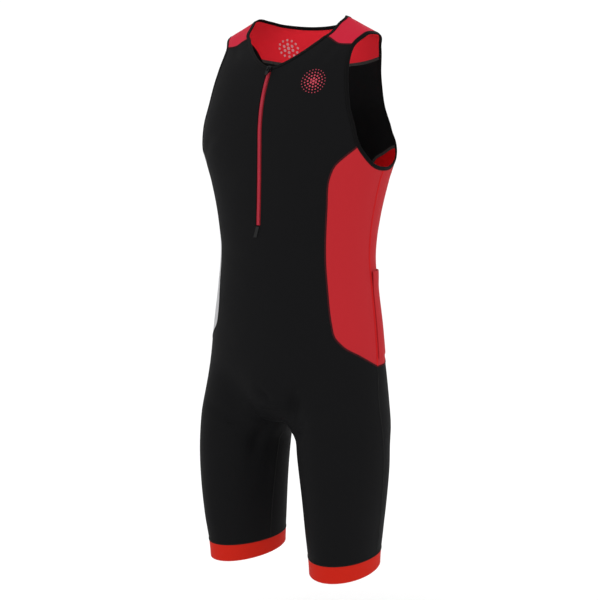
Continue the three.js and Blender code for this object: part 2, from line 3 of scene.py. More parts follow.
import bpy
import numpy as np
from mathutils import Matrix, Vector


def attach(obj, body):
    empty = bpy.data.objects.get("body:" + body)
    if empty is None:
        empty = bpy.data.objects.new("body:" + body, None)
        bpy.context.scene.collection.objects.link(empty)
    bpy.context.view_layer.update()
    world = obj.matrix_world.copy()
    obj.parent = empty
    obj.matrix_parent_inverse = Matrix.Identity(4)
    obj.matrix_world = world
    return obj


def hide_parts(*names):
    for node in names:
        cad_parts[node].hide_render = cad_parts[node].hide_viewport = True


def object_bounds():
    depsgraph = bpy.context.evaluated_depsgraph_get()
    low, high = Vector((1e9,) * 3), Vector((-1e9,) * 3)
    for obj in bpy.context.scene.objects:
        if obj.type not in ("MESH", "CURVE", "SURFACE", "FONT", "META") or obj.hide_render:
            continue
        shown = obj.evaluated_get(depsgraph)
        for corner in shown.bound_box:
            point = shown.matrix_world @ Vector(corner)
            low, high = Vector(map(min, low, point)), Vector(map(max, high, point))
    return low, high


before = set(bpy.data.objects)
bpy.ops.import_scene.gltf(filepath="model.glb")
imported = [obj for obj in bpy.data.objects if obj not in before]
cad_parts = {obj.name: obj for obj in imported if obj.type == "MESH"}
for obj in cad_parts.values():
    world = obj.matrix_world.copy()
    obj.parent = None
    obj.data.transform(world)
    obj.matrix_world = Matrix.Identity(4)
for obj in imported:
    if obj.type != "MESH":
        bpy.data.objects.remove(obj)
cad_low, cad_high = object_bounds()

# ---- camera, light and floor ----
# A still studio view of the suit's left front, a little from above. The light is even
# and soft: a pale room, a broad key from the camera's left and a broad fill.
AZIMUTH, ELEVATION, DISTANCE = 38.0, 6.4, 2.8
LOOK_AT = np.array([0.0, 0.0, -0.480])
SENSOR = 36.0
LENS = 98.8
FRAME_SHIFT = (-0.0075, -0.0025)


def direction(azimuth, elevation):
    """Unit vector from the suit towards azimuth (0 in front, 90 on its left) and elevation."""
    a, e = math.radians(azimuth), math.radians(elevation)
    return np.array([math.sin(a) * math.cos(e), -math.cos(a) * math.cos(e), math.sin(e)])


def aim(thing, away, distance):
    """Puts a camera or lamp that looks along its own -Z at LOOK_AT + away x distance, facing back."""
    side = np.cross([0.0, 0.0, 1.0], away)
    side /= np.linalg.norm(side)
    turn = np.column_stack([side, np.cross(away, side), away])
    matrix = np.eye(4)
    matrix[:3, :3] = turn
    matrix[:3, 3] = LOOK_AT + away * distance
    thing.matrix_world = Matrix(matrix.tolist())


scene = bpy.context.scene
scene.view_settings.view_transform = "Standard"
camera = bpy.data.objects.new("camera", bpy.data.cameras.new("camera"))
camera.data.sensor_width = SENSOR
camera.data.lens = LENS
camera.data.shift_x, camera.data.shift_y = FRAME_SHIFT
camera.data.clip_end = 60.0
scene.collection.objects.link(camera)
scene.camera = camera
aim(camera, direction(AZIMUTH, ELEVATION), DISTANCE)

for lamp_name, azimuth, elevation, distance, size, power in (
    ("key_light", 5.0, 35.0, 3.0, 2.2, 9.0),
    ("fill_light", 80.0, 15.0, 3.2, 2.4, 5.0),
    ("back_light", 205.0, 40.0, 3.2, 2.4, 5.0),
):
    lamp = bpy.data.lights.new(lamp_name, "AREA")
    lamp.shape = "DISK"
    lamp.size = size
    lamp.energy = power
    holder = bpy.data.objects.new(lamp_name, lamp)
    scene.collection.objects.link(holder)
    aim(holder, direction(azimuth, elevation), distance)

room = bpy.data.worlds.new("pale_room")
room.use_nodes = True
room.node_tree.nodes["Background"].inputs["Color"].default_value = (1.0, 1.0, 1.0, 1.0)
room.node_tree.nodes["Background"].inputs["Strength"].default_value = 1.06
scene.world = room


def linear(hex_colour):
    """sRGB hex to linear: c / 12.92 below 0.04045, else ((c + 0.055) / 1.055) to the 2.4."""
    channels = np.array([int(hex_colour[k:k + 2], 16) for k in (1, 3, 5)]) / 255
    low, high = channels / 12.92, ((channels + 0.055) / 1.055) ** 2.4
    return (*np.where(channels <= 0.04045, low, high), 1.0)


def add(tree, kind, inputs=None, **settings):
    """Adds a node with its settings; each input is a socket to link from or a plain value."""
    node = tree.nodes.new(kind)
    for name, value in settings.items():
        setattr(node, name, value)
    for name, value in (inputs or {}).items():
        if isinstance(value, bpy.types.NodeSocket):
            tree.links.new(value, node.inputs[name])
        else:
            node.inputs[name].default_value = value
    return node


def finish_named(name):
    """An empty material and its tree, holding only the output."""
    material = bpy.data.materials.new(name)
    material.use_nodes = True
    material.node_tree.nodes.clear()
    return material, material.node_tree


def two_tone(tree, share, shade, colour):
    """A ramp from shade to colour, as sRGB hex, while share runs from 0 to 1."""
    ramp = add(tree, "ShaderNodeValToRGB", {"Fac": share})
    for stop, hex_colour in zip(ramp.color_ramp.elements, (shade, colour)):
        stop.color = linear(hex_colour)
    return ramp


def coated(material, tree, inputs):
    """The material, with one principled surface of these inputs as its output."""
    surface = add(tree, "ShaderNodeBsdfPrincipled", inputs)
    add(tree, "ShaderNodeOutputMaterial", {"Surface": surface.outputs["BSDF"]})
    return material


def matt_paint():
    """White emulsion on the studio floor: matt, with a faint roller mottle."""
    material, tree = finish_named("matt_emulsion_floor")
    place = add(tree, "ShaderNodeTexCoord").outputs["Object"]
    mottle = add(tree, "ShaderNodeTexNoise", {"Vector": place, "Scale": 3.0, "Detail": 4.0})
    tone = two_tone(tree, mottle.outputs["Fac"], "#fcfcfc", "#ffffff")
    return coated(material, tree, {
        "Base Color": tone.outputs["Color"],
        "Roughness": 0.9,
        "Specular IOR Level": 0.1,
    })


FLOOR_DROP = 0.16
FLOOR_HALF = 30.0
floor_mesh = bpy.data.meshes.new("floor")
floor_z = cad_low.z - FLOOR_DROP
floor_mesh.from_pydata(
    [(x, y, floor_z) for x, y in (
        (-FLOOR_HALF, -FLOOR_HALF), (FLOOR_HALF, -FLOOR_HALF),
        (FLOOR_HALF, FLOOR_HALF), (-FLOOR_HALF, FLOOR_HALF),
    )],
    [], [(0, 1, 2, 3)],
)
floor = bpy.data.objects.new("floor", floor_mesh)
floor_mesh.materials.append(matt_paint())
scene.collection.objects.link(floor)

# ---- front panel ----
# The front of body and legs, cut in one piece of black warp-knit polyester and elastane.
# It is the first piece sewn, so the form that every piece is cut to is worked out here.
# Sizes are in millimetres until a mesh is made.
TORSO = (  # height, half width, depth in front, depth behind, place of the side line, squareness
    (4, 62, 6, 20, 0, 2.2),
    (-8, 91, 13, 34, 0, 2.2),
    (-23, 122, 28, 48, 0, 2.2),
    (-39, 153, 42, 56, -1, 2.2),
    (-60, 161, 60, 65, -4, 2.2),
    (-83, 164, 76, 72, -8, 2.25),
    (-110, 166, 87, 80, -12, 2.3),
    (-150, 172, 97, 86, -16, 2.3),
    (-190, 183, 102, 93, -17, 2.3),
    (-230, 184, 103, 97, -17, 2.3),
    (-280, 165, 107, 95, -14, 2.3),
    (-340, 149, 112, 86, -11, 2.25),
    (-400, 142, 117, 77, -9, 2.2),
    (-450, 147, 119, 75, -9, 2.2),
    (-520, 158, 115, 84, -13, 2.2),
    (-590, 167, 108, 93, -18, 2.2),
    (-650, 175, 100, 99, -22, 2.2),
    (-700, 185, 94, 96, -23, 2.2),
)
LEG = (  # height, centre, half width, depth in front, depth behind, side line, turn out in degrees
    (-560, 85, 79, 91, 95, -22, 0),
    (-640, 92, 81, 93, 90, -24, 0),
    (-690, 102, 77, 91, 83, -25, 3),
    (-715, 104, 76, 90, 78, -26, 5),
    (-745, 106, 74, 90, 76, -26, 6),
    (-800, 107, 68, 89, 74, -25, 8),
    (-860, 106, 62, 83, 72, -25, 10),
    (-910, 105, 57, 76, 70, -24, 10),
    (-950, 105, 56, 73, 70, -23, 10),
)
FORK = -686.0
SEAT_ARC = 62.0
THIGH_TOP = -560.0
LEAN_SHIFT = -6.5
LEAN_FROM, LEAN_TO = -90.0, -25.0
GUSSET = 40.0
MM = 0.001


def follow(rows, at):
    """Smooth reading of a table at its first column: a cubic between rows, whose slope
    at a row is the mean of the slopes beside it, the nearer row's counting for more."""
    rows = np.asarray(rows, float)
    if rows[0, 0] > rows[-1, 0]:
        rows = rows[::-1]
    key, value = rows[:, 0], rows[:, 1:]
    step = np.diff(key)[:, None]
    slope = np.diff(value, axis=0) / step
    inner = (slope[:-1] * step[1:] + slope[1:] * step[:-1]) / (step[1:] + step[:-1])
    tangent = np.vstack([slope[:1], inner, slope[-1:]])
    at = np.clip(np.asarray(at, float), key[0], key[-1])
    i = np.clip(np.searchsorted(key, at, side="right") - 1, 0, len(key) - 2)
    t = ((at - key[i]) / step[i, 0])[..., None]
    rise = step[i]
    return (
        (1 + 2 * t) * (1 - t) ** 2 * value[i]
        + t * (1 - t) ** 2 * rise * tangent[i]
        + t * t * (3 - 2 * t) * value[i + 1]
        + t * t * (t - 1) * rise * tangent[i + 1]
    )


def smooth(low, high, value):
    """3t^2 - 2t^3, where t runs from 0 at low to 1 at high and is held there."""
    t = np.clip((value - low) / (high - low), 0, 1)
    return t * t * (3 - 2 * t)


def skin(s, z):
    """Point of the left half at angle s (-1 front centre or inseam, 0 side, 1 back centre)
    and height z. The body is the oval |cos|^(2/n), |sin|^(2/n) of the angle, the leg a
    plain oval, and a share that grows down the thigh blends one into the other; the
    centre lines turn under the crotch on an arc of height SEAT_ARC."""
    s, z = np.broadcast_arrays(np.asarray(s, float), np.asarray(z, float))
    half, front, back, side, square = np.moveaxis(follow(TORSO, z), -1, 0)
    angle = s * math.pi / 2
    cos, sin = np.cos(angle), np.sin(angle)
    body_x = half * np.sign(cos) * np.abs(cos) ** (2 / square)
    body_y = side + np.where(s < 0, front, back) * np.sign(sin) * np.abs(sin) ** (2 / square)
    centre, leg_half, leg_front, leg_back, leg_side, turn = np.moveaxis(follow(LEG, z), -1, 0)
    turn = np.radians(turn)
    across = leg_half * np.cos(s * math.pi)
    along = np.where(s < 0, leg_front, leg_back) * np.sin(s * math.pi)
    near = np.minimum(np.abs(s), 1)
    inner = centre - leg_half * np.cos(turn)
    joined = np.clip((z - (FORK - GUSSET)) / GUSSET, 0, 1) ** 2
    leg_x = centre + across * np.cos(turn) - along * np.sin(turn)
    leg_x = leg_x - inner * joined * smooth(0.45, 1, near) ** 2
    leg_y = leg_side + across * np.sin(turn) + along * np.cos(turn)
    under = np.clip((FORK + SEAT_ARC - z) / SEAT_ARC, 0, 1)
    arc = 1 - np.sqrt(np.clip(1 - under * under, 0, 1))
    edge = smooth(0.5, 1, near)
    share = np.where(z <= FORK, 1.0, smooth(THIGH_TOP, FORK, z) * (1 - edge) + arc * edge)
    return np.stack([
        body_x + (leg_x - body_x) * share,
        body_y + (leg_y - body_y) * share,
        z,
    ], -1)


def unit(vectors):
    """Vectors at length one."""
    return vectors / np.maximum(np.linalg.norm(vectors, axis=-1, keepdims=True), 1e-9)


def normal_of(surface, s, z):
    """Outward unit normal of surface(s, z): the step along s crossed with the step along z.
    On the centre lines above the crotch it has no sideways part, and under it it points down."""
    s, z = np.broadcast_arrays(np.asarray(s, float), np.asarray(z, float))
    normal = unit(np.cross(
        surface(s + 0.003, z) - surface(s - 0.003, z),
        surface(s, z + 0.3) - surface(s, z - 0.3),
    ))
    centred = (np.abs(s) == 1) & (z >= FORK)
    normal[..., 0] = np.where(centred, 0, normal[..., 0])
    normal[centred & (z < FORK + 1)] = (0, 0, -1)
    return unit(normal)


# Soft creases of the worn cloth: face, distance round from its centre line towards the
# wearer's left, height, half length, half width, depth (below 0 a ridge) and tilt in degrees.
ROUND = 230.0
CREASES = (
    ("front", 25, -643, 19, 3.2, 1.8, -8),
    ("front", 26, -649, 17, 2.6, -2.4, -8),
    ("front", 14, -656, 14, 4.5, 2.6, -8),
    ("front", 7, -629, 12, 5.0, 5.0, -58),
    ("front", 62, -644, 24, 13, 8.0, 78),
    ("front", -36, -704, 48, 11, 7.5, 86),
    ("front", 58, -700, 60, 11, 2.6, 34),
    ("front", -60, -702, 58, 10, 2.4, -38),
    ("front", 96, -668, 52, 10, 1.7, 28),
    ("front", -98, -672, 50, 9, 1.6, -24),
    ("front", 70, -380, 70, 16, 1.6, 9),
    ("front", -66, -396, 64, 15, 1.5, -11),
    ("front", 40, -432, 80, 18, -1.3, -5),
    ("front", 120, -236, 46, 12, 1.8, -38),
    ("front", -122, -230, 44, 12, 1.7, 36),
    ("front", 96, -62, 34, 9, 1.2, 52),
    ("front", -94, -60, 32, 9, 1.2, -50),
    ("back", 30, -668, 58, 9, 2.4, 30),
    ("back", -34, -662, 54, 9, 2.2, -34),
    ("back", 84, -688, 60, 11, 1.9, 22),
    ("back", -88, -692, 56, 11, 1.8, -20),
    ("back", 52, -372, 74, 15, 1.9, 8),
    ("back", -46, -352, 66, 14, 1.8, -12),
    ("back", 10, -404, 90, 17, -1.4, 4),
    ("back", 112, -216, 46, 12, 1.7, 40),
    ("back", -116, -224, 44, 12, 1.7, -36),
)


def crease(side, s, z):
    """How far the cloth falls in at a place: the sum over CREASES of depth x
    exp(-(along / half length)^2 - (across / half width)^2), fading out at the crotch
    and down the inseam."""
    total = np.zeros(np.broadcast(s, z).shape)
    for face, round_at, height, long, wide, depth, tilt in CREASES:
        near = (1 + s if face == "front" else 1 - s) * ROUND * side
        turn = math.radians(tilt)
        right, up = near - round_at, z - height
        along = right * math.cos(turn) + up * math.sin(turn)
        across = up * math.cos(turn) - right * math.sin(turn)
        total += depth * np.exp(-((along / long) ** 2) - (across / wide) ** 2)
    seat = np.clip((z - FORK) / 24, 0, 1)
    return total * np.maximum(seat, 1 - smooth(0.8, 1, np.abs(s)))


def form(side, s, z):
    """Outer face of the cloth on the wearer's left (side 1) or right (side -1), with its
    creases; the shoulders lean LEAN_SHIFT to the wearer's right."""
    point = skin(s, z) - normal_of(skin, s, z) * crease(side, s, z)[..., None]
    centred = (np.abs(s) == 1) & (z >= FORK)
    point[..., 0] = np.where(centred, 0, point[..., 0] * side)
    point[..., 0] += LEAN_SHIFT * smooth(LEAN_FROM, LEAN_TO, z)
    return point


def outward(side, s, z):
    """Outward unit normal of the creased cloth."""
    s, z = np.broadcast_arrays(np.asarray(s, float), np.asarray(z, float))
    centred = (np.abs(s) == 1) & (z >= FORK)

    def mirrored(a, b):
        """The creased surface at these places, on the side of the body that is asked for."""
        point = skin(a, b) - normal_of(skin, a, b) * crease(side, a, b)[..., None]
        return point * (side, 1, 1)

    normal = unit(np.cross(
        mirrored(s + 0.003, z) - mirrored(s - 0.003, z),
        mirrored(s, z + 0.3) - mirrored(s, z - 0.3),
    )) * side
    normal[..., 0] = np.where(centred, 0, normal[..., 0])
    normal[centred & (z < FORK + 1)] = (0, 0, -1)
    return unit(normal)


def angle_at(x, z):
    """Angle s at which the front of the body is x from the centre line."""
    half, square = follow(TORSO, z)[..., 0], follow(TORSO, z)[..., 4]
    return -np.arccos((x / half) ** (square / 2)) * 2 / math.pi


# Edges that are bound: a station, then the angle and height of the edge there. The neck
# edge carries on across the centre lines, and the armhole edge meets itself.
NECK_EDGE = np.array([
    (-2, -1.18, -66.5), (-1, -1.08, -83), (0, -1, -91), (1, -0.92, -83), (2, -0.82, -66.5),
    (3, -0.735, -50), (4, -0.672, -40), (5, -0.42, -18), (6, 0, -8), (7, 0.35, -10.7),
    (8, 0.65, -17), (9, 1, -21.5), (10, 1.35, -17), (11, 1.65, -10.7),
])
NECK_STOPS = {"front": 0, "yoke": 4, "ridge": 6, "back": 9}
ARM_EDGE = np.array([
    (-2, 0.34, -54), (-1, 0.18, -42), (0, 0, -39), (1, -0.22, -42), (2, -0.375, -59),
    (3, -0.4, -88), (4, -0.372, -130), (5, -0.348, -180), (6, -0.305, -217),
    (7, -0.16, -244), (8, 0, -253), (9, 0.16, -246), (10, 0.33, -218), (11, 0.45, -182),
    (12, 0.475, -138), (13, 0.478, -104), (14, 0.432, -78), (15, 0.34, -54),
    (16, 0.18, -42), (17, 0, -39), (18, -0.22, -42), (19, -0.375, -59),
])
ARM_STOPS = {
    "ridge": 0, "yoke_front": 2, "side_front": 6, "under": 8, "side_back": 10,
    "yoke_back": 14, "end": 17,
}
ARM_CENTRE = (160.0, -5.0, -146.0)
BINDING = 6.5
TUCK = 5.0


def tucked(edge, at, width):
    """Places a width inside a bound edge: the edge moved over the skin at right angles to
    itself, by solving the two steps in s and z that make up that move."""
    at = np.asarray(at, float)
    s, z = np.moveaxis(follow(edge, at), -1, 0)
    run = skin(*np.moveaxis(follow(edge, at + 0.02), -1, 0))
    run = run - skin(*np.moveaxis(follow(edge, at - 0.02), -1, 0))
    centred = np.abs(s) == 1
    run[centred] = (1, 0, 0)
    into = unit(np.cross(normal_of(skin, s, z), run))
    if edge is NECK_EDGE:
        wrong = into[:, 2] > 0
    else:
        wrong = np.sum(into * (np.array(ARM_CENTRE) - skin(s, z)), -1) > 0
    into[wrong] *= -1
    along_s = (skin(s + 0.003, z) - skin(s - 0.003, z)) / 0.006
    along_z = (skin(s, z + 0.3) - skin(s, z - 0.3)) / 0.6
    a, b, c = (np.sum(u * v, -1) for u, v in (
        (along_s, along_s), (along_s, along_z), (along_z, along_z),
    ))
    p, q = np.sum(into * along_s, -1) * width, np.sum(into * along_z, -1) * width
    det = a * c - b * b
    return np.stack([
        np.where(centred, s, s + (p * c - q * b) / det),
        z + (q * a - p * b) / det,
    ], -1)


def seam(places, count):
    """A smooth line through places, in equal steps of sideways x 230 and height."""
    places = np.asarray(places, float)
    gaps = np.hypot(np.diff(places[:, 0]) * ROUND, np.diff(places[:, 1]))
    at = np.concatenate([[0], np.cumsum(gaps)])
    return follow(np.column_stack([at, places]), np.linspace(0, at[-1], count + 1))


FINE = 4


def neck_line(start, end, count):
    """The panels' edge under the neck binding, from one named stop to another."""
    return tucked(NECK_EDGE, np.linspace(NECK_STOPS[start], NECK_STOPS[end], count * FINE + 1), TUCK)


def arm_line(start, end, count):
    """The panels' edge under an armhole binding, from one named stop to another."""
    return tucked(ARM_EDGE, np.linspace(ARM_STOPS[start], ARM_STOPS[end], count * FINE + 1), TUCK)


neck_front = neck_line("front", "yoke", 8)
neck_top = neck_line("yoke", "ridge", 4)
neck_back = neck_line("ridge", "back", 14)
arm_top = arm_line("ridge", "yoke_front", 4)
arm_front = arm_line("yoke_front", "side_front", 8)
arm_under_front = arm_line("side_front", "under", 4)
arm_under_back = arm_line("under", "side_back", 4)
arm_back = arm_line("side_back", "yoke_back", 8)
arm_shoulder = arm_line("yoke_back", "end", 6)

SIDE_FRONT_LEFT = (
    (-0.43, -236), (-0.495, -252), (-0.508, -270), (-0.48, -320), (-0.45, -390),
    (-0.442, -455), (-0.434, -507), (-0.42, -526), (-0.36, -541), (-0.19, -560),
)
SIDE_FRONT_RIGHT = (
    (-0.37, -236), (-0.4, -262), (-0.43, -300), (-0.47, -360), (-0.505, -410),
    (-0.53, -455), (-0.555, -500), (-0.54, -520), (-0.44, -537), (-0.21, -559),
)
SIDE_BACK = (
    (0.46, -224), (0.58, -234), (0.675, -244), (0.71, -262), (0.69, -320), (0.65, -390),
    (0.63, -455), (0.6, -510), (0.53, -546), (0.38, -567), (0.19, -577),
)
SIDE_TIP = (0.0, -579.0)
YOKE_BACK = -88.0
yoke_front_seam = seam([neck_top[0], (-0.545, -54.5), arm_top[-1]], 4 * FINE)
yoke_back_seam = seam([arm_back[-1], (0.72, -84), (1, YOKE_BACK)], 8 * FINE)
side_front_seam = {
    side: seam([arm_under_front[0], *places, SIDE_TIP], 14 * FINE)
    for side, places in ((1, SIDE_FRONT_LEFT), (-1, SIDE_FRONT_RIGHT))
}
side_back_seam = seam([arm_under_back[-1], *SIDE_BACK, SIDE_TIP], 14 * FINE)
side_seam = seam([arm_under_front[-1], (0, -420), SIDE_TIP], 14 * FINE)

BAND_TOP = -895.5
BAND_TILT = 8.5


def band_top(s):
    """Height of the seam over the leg band: lower in front and higher behind, as a sine."""
    return BAND_TOP + BAND_TILT * np.sin(s * math.pi)


def levels(low, high, count):
    """Heights after the first, in equal steps, FINE of them to each of count."""
    return np.linspace(low, high, count * FINE + 1)[1:]


def arc_levels(count):
    """Equal steps round the arc that a centre line makes under the crotch."""
    return FORK + SEAT_ARC * (1 - np.sin(np.linspace(0, math.pi / 2, count * FINE + 1)[1:]))


def line_down(s, *stretches):
    """A line at one place round the body, through the heights of each stretch."""
    z = np.concatenate([np.atleast_1d(part) for part in stretches])
    return np.column_stack([np.full_like(z, s), z])


BUNCH = 0.68


def bunched(count):
    """Steps from 0 to 1 that are about a third as long at the ends as on average."""
    t = np.linspace(0, 1, count + 1)
    return t - BUNCH * np.sin(2 * math.pi * t) / (2 * math.pi)


def between(one, other, top, bottom, columns):
    """Net of places between two side lines: straight steps across, to which the shapes of
    the top and bottom lines are added, dying away with the cube of the distance."""
    u = bunched(columns)[None, :, None]
    v = np.linspace(0, 1, len(one))[:, None, None]
    net = one[:, None] + (other - one)[:, None] * u

    def read(line):
        """The line at the net's own steps across."""
        at = np.linspace(0, 1, len(line))
        return np.column_stack([np.interp(u[0, :, 0], at, line[:, k]) for k in (0, 1)])[None]

    if top is not None:
        net = net + (1 - v) ** 3 * (read(top) - (one[0] + (other[0] - one[0]) * u))
    if bottom is not None:
        net = net + v ** 3 * (read(bottom) - (one[-1] + (other[-1] - one[-1]) * u))
    return net


def triangles_of(rows, columns, start, closed=False):
    """Two triangles for each cell of a net of points, numbered by rows from start."""
    k = np.arange(rows * columns).reshape(rows, columns) + start
    if closed:
        k = np.vstack([k, k[:1]])
    a, b, c, d = k[:-1, :-1], k[:-1, 1:], k[1:, 1:], k[1:, :-1]
    return np.concatenate([np.stack([a, b, c], -1), np.stack([a, c, d], -1)]).reshape(-1, 3)


def distance_along(points, axis):
    """Length along a net's rows or columns: the running sum of its steps."""
    steps = np.linalg.norm(np.diff(points, axis=axis), axis=-1)
    start = np.zeros_like(np.take(steps, [0], axis=axis))
    return np.cumsum(np.concatenate([start, steps], axis=axis), axis=axis)


SEAM_GAP = 0.3


def laid_flat(points):
    """UV of a net in millimetres: lengths along its rows and along its columns."""
    return np.stack([distance_along(points, 1), distance_along(points, 0)], -1).reshape(-1, 2)


def shell(points, normals, triangles, thick):
    """Gives a sheet its wall. Corners at one place are joined, open edges are drawn in by
    half the seam gap, and the inner face is the outer face moved in by the thickness.
    Returns points, triangles, the finish of each triangle and the corner each came from."""
    _, first, joined = np.unique(
        np.round(points * 1000).astype(int), axis=0, return_index=True, return_inverse=True)
    joined = joined.reshape(-1)
    corners = triangles.copy()
    triangles = joined[triangles]
    sound = np.all(triangles != np.roll(triangles, 1, axis=1), axis=1)
    triangles, corners = triangles[sound], corners[sound]
    points, normals = points[first], normals[first]
    p, q, r = (points[triangles[:, k]] for k in range(3))
    facing = np.sum(np.cross(q - p, r - p) * normals[triangles[:, 0]])
    if facing < 0:
        triangles, corners = triangles[:, ::-1], corners[:, ::-1]
    start = triangles.reshape(-1)
    end = np.roll(triangles, -1, axis=1).reshape(-1)
    count = len(points)
    rim = ~np.isin(start * count + end, end * count + start)
    a, b = start[rim], end[rim]
    run = unit(points[b] - points[a])
    inward = np.zeros_like(points)
    np.add.at(inward, a, np.cross(normals[a], run))
    np.add.at(inward, b, np.cross(normals[b], run))
    outer = points + unit(inward) * (SEAM_GAP / 2) * (np.linalg.norm(inward, axis=1) > 1e-6)[:, None]
    inner = outer - normals * thick
    walls = np.concatenate([
        np.column_stack([b, a, a + count]),
        np.column_stack([b, a + count, b + count]),
    ])
    corner_of = np.zeros(count, int)
    corner_of[triangles.reshape(-1)] = corners.reshape(-1)
    every = np.concatenate([triangles, triangles[:, ::-1] + count, walls])
    source = np.concatenate([corners, corners[:, ::-1], corner_of[walls % count]])
    finish = np.concatenate([
        np.zeros(len(triangles), int), np.ones(len(triangles), int), np.zeros(len(walls), int),
    ])
    return np.concatenate([outer, inner]), every, finish, source


def piece(name, points, triangles, finishes, slot, finish=None, uv=None, body="garment", flat=60):
    """Makes a mesh in metres, smooth but for edges sharper than flat degrees, with its UV
    map in metres of cloth, and lets it ride on its body."""
    mesh = bpy.data.meshes.new(name)
    mesh.from_pydata((points * MM).tolist(), [], triangles.tolist())
    if finish is not None:
        mesh.polygons.foreach_set("material_index", finish.astype(np.int32))
    if uv is not None:
        mesh.uv_layers.new(name="cloth")
        mesh.uv_layers["cloth"].data.foreach_set("uv", (uv * MM).reshape(-1).astype(np.float32))
    for material in finishes:
        mesh.materials.append(material)
    mesh.shade_smooth()
    mesh.set_sharp_from_angle(angle=math.radians(flat))
    thing = bpy.data.objects.new(name, mesh)
    scene.collection.objects.link(thing)
    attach(thing, body)
    return thing


def cloth(name, nets, finishes, slot, thick=1.2, proud=None):
    """A sheet of cloth from nets of places (side, places[row, column] = (s, z)), laid on
    the form. Its UV map runs across the net's rows and down its columns, in real length."""
    points, normals, triangles, uv, start = [], [], [], [], 0
    for side, places in nets:
        s, z = places[..., 0], places[..., 1]
        at, off = form(side, s, z), outward(side, s, z)
        if proud is not None:
            at = at + off * proud(z)[..., None]
        uv.append(np.stack([distance_along(at, 1) * side, -distance_along(at, 0)], -1).reshape(-1, 2))
        facets = triangles_of(*s.shape, start)
        at, off = at.reshape(-1, 3), off.reshape(-1, 3)
        p, q, r = (at[facets[:, k] - start] for k in range(3))
        facing = np.sum(np.cross(q - p, r - p) * off[facets[:, 0] - start])
        triangles.append(facets if facing > 0 else facets[:, ::-1])
        points.append(at)
        normals.append(off)
        start += len(at)
    points, normals = np.concatenate(points), np.concatenate(normals)
    made, facets, finish, source = shell(points, normals, np.concatenate(triangles), thick)
    return piece(name, made, facets, finishes, slot, finish, np.concatenate(uv)[source])


WALE = 1.1
COURSE = 1.5


def knit(name, colour, shade, sheen=0.03, gloss=0.18, wale=WALE, course=COURSE, tone=0.1):
    """Warp-knit polyester and elastane: columns of small V loops with a soft dull sheen,
    slightly uneven in dye, and darker down between the loops as painted shade. Real loops
    are 0.4 mm wide; they are drawn at about twice that so that they show. Height is |sin|
    across a column that leans by a triangle wave."""
    material, tree = finish_named(name)
    at = add(tree, "ShaderNodeSeparateXYZ", {
        "Vector": add(tree, "ShaderNodeUVMap", uv_map="cloth").outputs["UV"],
    })
    rows = add(tree, "ShaderNodeMath", {0: at.outputs["Y"], 1: 1 / (course * MM)}, operation="MULTIPLY")
    lean = add(tree, "ShaderNodeMath", {0: rows.outputs[0], 1: 1.0}, operation="PINGPONG")
    columns = add(tree, "ShaderNodeMath", {
        0: at.outputs["X"], 1: 1 / (wale * MM), 2: lean.outputs[0],
    }, operation="MULTIPLY_ADD")
    turn = add(tree, "ShaderNodeMath", {0: columns.outputs[0], 1: math.pi}, operation="MULTIPLY")
    wave = add(tree, "ShaderNodeMath", {0: turn.outputs[0]}, operation="SINE")
    loop = add(tree, "ShaderNodeMath", {0: wave.outputs[0]}, operation="ABSOLUTE")
    place = add(tree, "ShaderNodeTexCoord").outputs["Object"]
    dye = add(tree, "ShaderNodeTexNoise", {"Vector": place, "Scale": 14.0, "Detail": 5.0})
    deep = add(tree, "ShaderNodeMath", {0: loop.outputs[0], 1: 0.5, 2: 0.5}, operation="MULTIPLY_ADD")
    uneven = add(tree, "ShaderNodeMath", {0: dye.outputs["Fac"], 1: tone, 2: 1 - tone / 2},
                 operation="MULTIPLY_ADD")
    # Painted shade: the colour darkens where a loop is low, times the real unevenness of the dye.
    share = add(tree, "ShaderNodeMath", {0: deep.outputs[0], 1: uneven.outputs[0]},
                operation="MULTIPLY", use_clamp=True)
    tint = two_tone(tree, share.outputs[0], shade, colour)
    tint.color_ramp.elements[1].position = 0.85
    rough = add(tree, "ShaderNodeMapRange", {
        "Value": dye.outputs["Fac"], "To Min": 0.58, "To Max": 0.74,
    })
    relief = add(tree, "ShaderNodeBump", {
        "Height": loop.outputs[0], "Distance": 0.00012, "Strength": 0.5,
    })
    return coated(material, tree, {
        "Base Color": tint.outputs["Color"],
        "Roughness": rough.outputs["Result"],
        "Specular IOR Level": gloss,
        "Sheen Weight": sheen,
        "Sheen Roughness": 0.45,
        "Normal": relief.outputs["Normal"],
    })


black_knit = knit("black_warp_knit", "#131314", "#09090a", sheen=0.0, gloss=0.03)
black_reverse = knit("black_warp_knit_reverse", "#151516", "#0b0b0c", sheen=0.0, gloss=0.03)
CLOTH = 1.2

ZIP_HALF = 4.4
ZIP_TOP = -91.5
ZIP_END = -349.0
slit = ZIP_HALF + SEAM_GAP / 2
zipped = np.concatenate([
    [neck_front[0, 1]], levels(neck_front[0, 1], -222, 12), levels(-222, ZIP_END, 4),
])
front_centre = np.concatenate([
    np.column_stack([angle_at(slit, zipped), zipped]),
    line_down(-1, ZIP_END - SEAM_GAP, levels(ZIP_END - SEAM_GAP, -585, 9),
              levels(-585, FORK + SEAT_ARC, 2), arc_levels(6), levels(FORK, band_top(-1), 8)),
])
outseam = line_down(0, levels(SIDE_TIP[1], FORK + SEAT_ARC, 2), arc_levels(6),
                    levels(FORK, band_top(0), 8))


def front_side(side):
    """The front panel's outer line on one side, with as many places as its centre line."""
    line = np.concatenate([yoke_front_seam, arm_front[1:], side_front_seam[side][1:], outseam])
    at = np.linspace(0, 1, len(line))
    return np.column_stack([
        np.interp(np.linspace(0, 1, len(front_centre)), at, line[:, k]) for k in (0, 1)
    ])


